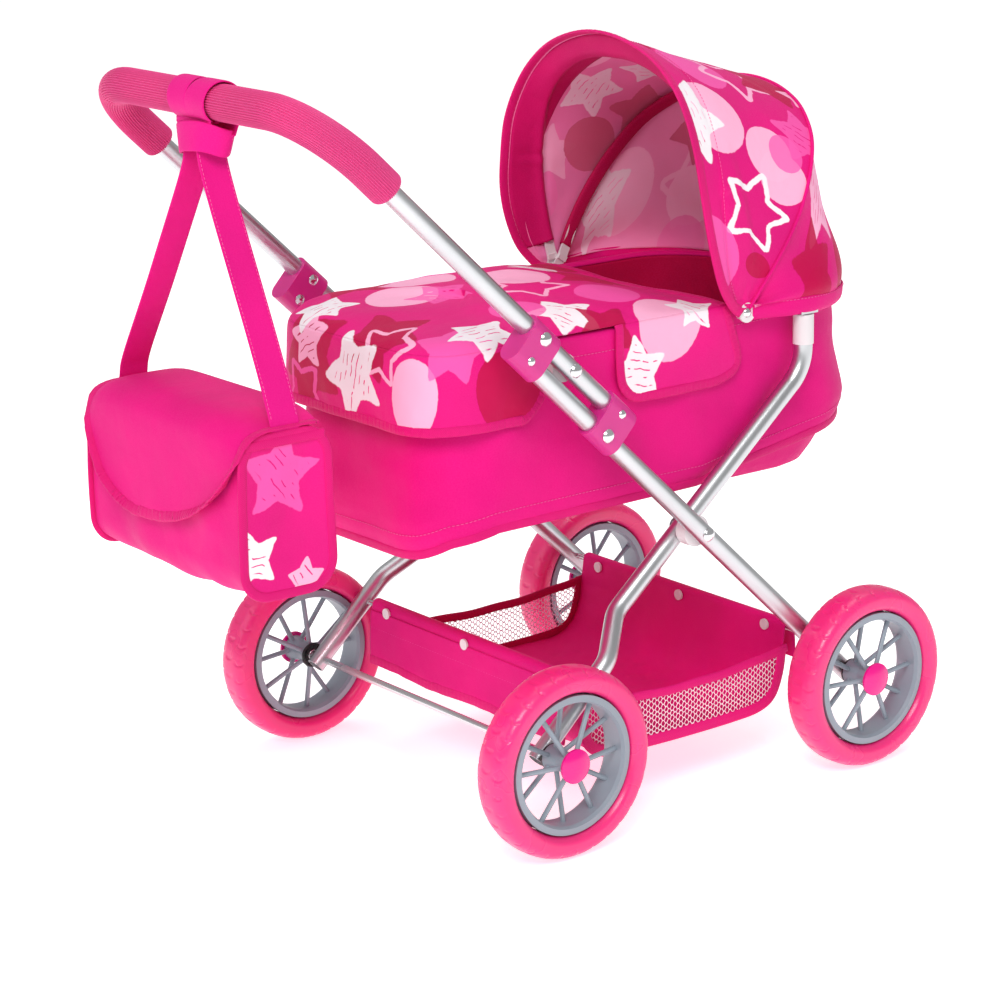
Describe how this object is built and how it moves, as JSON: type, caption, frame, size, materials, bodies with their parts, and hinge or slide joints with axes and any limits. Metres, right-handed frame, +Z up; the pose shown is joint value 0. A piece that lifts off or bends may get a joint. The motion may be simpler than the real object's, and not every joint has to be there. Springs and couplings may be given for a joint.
{
  "type": "doll stroller",
  "caption": "Folding doll pram: crossed tube frame on spoked wheels, soft cot with folding hood and cover, mesh-sided basket and a bag hung from the foam-covered handle.",
  "frame": {"origin": "on the floor under the middle of the whole object's box", "axes": "+X the way the pram is pushed, towards the hood; +Y to its left; +Z up"},
  "size_m": [0.6206, 0.3892, 0.5957],
  "materials": {
    "tyre_foam": "soft pink foam, matte",
    "rim_plastic": "blue-grey moulded plastic",
    "cap_plastic": "glossy magenta",
    "tube_metal": "satin silver tube",
    "rivet_metal": "polished steel",
    "wire_metal": "spring wire",
    "bracket_plastic": "pink-violet moulded plastic",
    "white_plastic": "white moulded plastic",
    "grip_foam": "ribbed pink foam",
    "cot_cloth": "hot pink woven polyester",
    "cover_cloth": "hot pink polyester printed with stars and dots",
    "hood_cloth": "hot pink polyester printed with stars and dots",
    "basket_cloth": "hot pink woven polyester",
    "mesh_cloth": "open white mesh",
    "bag_cloth": "hot pink polyester, printed gussets",
    "board": "thin fibre board"
  },
  "bodies": {
    "push_frame": {"handle_tube": "tube_metal", "foam_grip": "grip_foam", "front_leg_left": "tube_metal", "front_leg_right": "tube_metal", "upper_bracket_left": "bracket_plastic", "upper_bracket_right": "bracket_plastic", "lower_bracket_left": "bracket_plastic", "lower_bracket_right": "bracket_plastic", "bracket_rivets": "rivet_metal", "pivot_bolts": "rivet_metal", "pivot_spacers": "white_plastic", "front_axle": "tube_metal", "front_basket_rod": "tube_metal", "axle_clip_front_left": "wire_metal", "axle_clip_front_right": "wire_metal", "basket_sling": "basket_cloth", "basket_side_left": "mesh_cloth", "basket_side_right": "mesh_cloth", "basket_snaps": "white_plastic"},
    "rear_frame": {"rear_leg_left": "tube_metal", "rear_leg_right": "tube_metal", "rear_axle": "tube_metal", "rear_basket_rod": "tube_metal", "leg_clip_left": "bracket_plastic", "leg_clip_right": "bracket_plastic", "axle_clip_rear_left": "wire_metal", "axle_clip_rear_right": "wire_metal"},
    "cot": {"cot_shell": "cot_cloth", "base_board": "board", "rim_frame": "tube_metal", "cot_cover": "cover_cloth", "hood_eyelet_left": "white_plastic", "hood_eyelet_right": "white_plastic", "hood_screws": "rivet_metal"},
    "front_hoop": {"front_bow": "white_plastic", "hood_front_panel": "hood_cloth"},
    "rear_hoop": {"rear_bow": "white_plastic", "hood_back_panel": "hood_cloth"},
    "bag": {"bag_pouch": "bag_cloth", "bag_strap_left": "bag_cloth", "bag_strap_right": "bag_cloth", "bag_strap_wrap": "bag_cloth"},
    "bag_lid": {"bag_flap": "bag_cloth"},
    "wheel_front_left": {"tyre_front_left": "tyre_foam", "rim_front_left": "rim_plastic", "hub_cap_front_left": "cap_plastic"},
    "wheel_front_right": {"tyre_front_right": "tyre_foam", "rim_front_right": "rim_plastic", "hub_cap_front_right": "cap_plastic"},
    "wheel_rear_left": {"tyre_rear_left": "tyre_foam", "rim_rear_left": "rim_plastic", "hub_cap_rear_left": "cap_plastic"},
    "wheel_rear_right": {"tyre_rear_right": "tyre_foam", "rim_rear_right": "rim_plastic", "hub_cap_rear_right": "cap_plastic"}
  },
  "joints": [
    {"name": "frame_fold", "type": "hinge", "parent": "push_frame", "child": "rear_frame", "pos_m": [0.08285, 0, 0.2194], "axis": [0, -1, 0], "range_deg": [0, 50], "deforming": ["basket_sling", "basket_side_left", "basket_side_right", "basket_snaps"]},
    {"name": "cot_fold", "type": "hinge", "parent": "push_frame", "child": "cot", "pos_m": [-0.04786, 0, 0.37078], "axis": [0, -1, 0], "range_deg": [0, 50]},
    {"name": "hood_fold", "type": "hinge", "parent": "cot", "child": "rear_hoop", "pos_m": [0.15335, 0, 0.381], "axis": [0, 1, 0], "range_deg": [0, 38], "deforming": ["hood_front_panel", "hood_back_panel"]},
    {"name": "front_bow_fold", "type": "hinge", "parent": "rear_hoop", "child": "front_hoop", "pos_m": [0.15335, 0, 0.381], "axis": [0, 1, 0], "range_deg": [0, 38], "deforming": ["hood_front_panel"]},
    {"name": "bag_swing", "type": "hinge", "parent": "push_frame", "child": "bag", "pos_m": [-0.26834, 0, 0.57964], "axis": [0, 1, 0], "range_deg": [-12, 60]},
    {"name": "bag_open", "type": "hinge", "parent": "bag", "child": "bag_lid", "pos_m": [-0.30914, 0.008, 0.348], "axis": [0, 1, 0], "range_deg": [0, 110]},
    {"name": "wheel_spin_front_left", "type": "hinge", "parent": "push_frame", "child": "wheel_front_left", "pos_m": [0.23535, 0.1766, 0.075], "axis": [0, 1, 0], "continuous": true},
    {"name": "wheel_spin_front_right", "type": "hinge", "parent": "push_frame", "child": "wheel_front_right", "pos_m": [0.23535, -0.1766, 0.075], "axis": [0, 1, 0], "continuous": true},
    {"name": "wheel_spin_rear_left", "type": "hinge", "parent": "rear_frame", "child": "wheel_rear_left", "pos_m": [-0.07865, 0.1766, 0.075], "axis": [0, 1, 0], "continuous": true},
    {"name": "wheel_spin_rear_right", "type": "hinge", "parent": "rear_frame", "child": "wheel_rear_right", "pos_m": [-0.07865, -0.1766, 0.075], "axis": [0, 1, 0], "continuous": true}
  ],
  "couplings": [
    {"joint": "cot_fold", "follows": "frame_fold", "ratio": 1},
    {"joint": "front_bow_fold", "follows": "hood_fold", "ratio": 1}
  ]
}
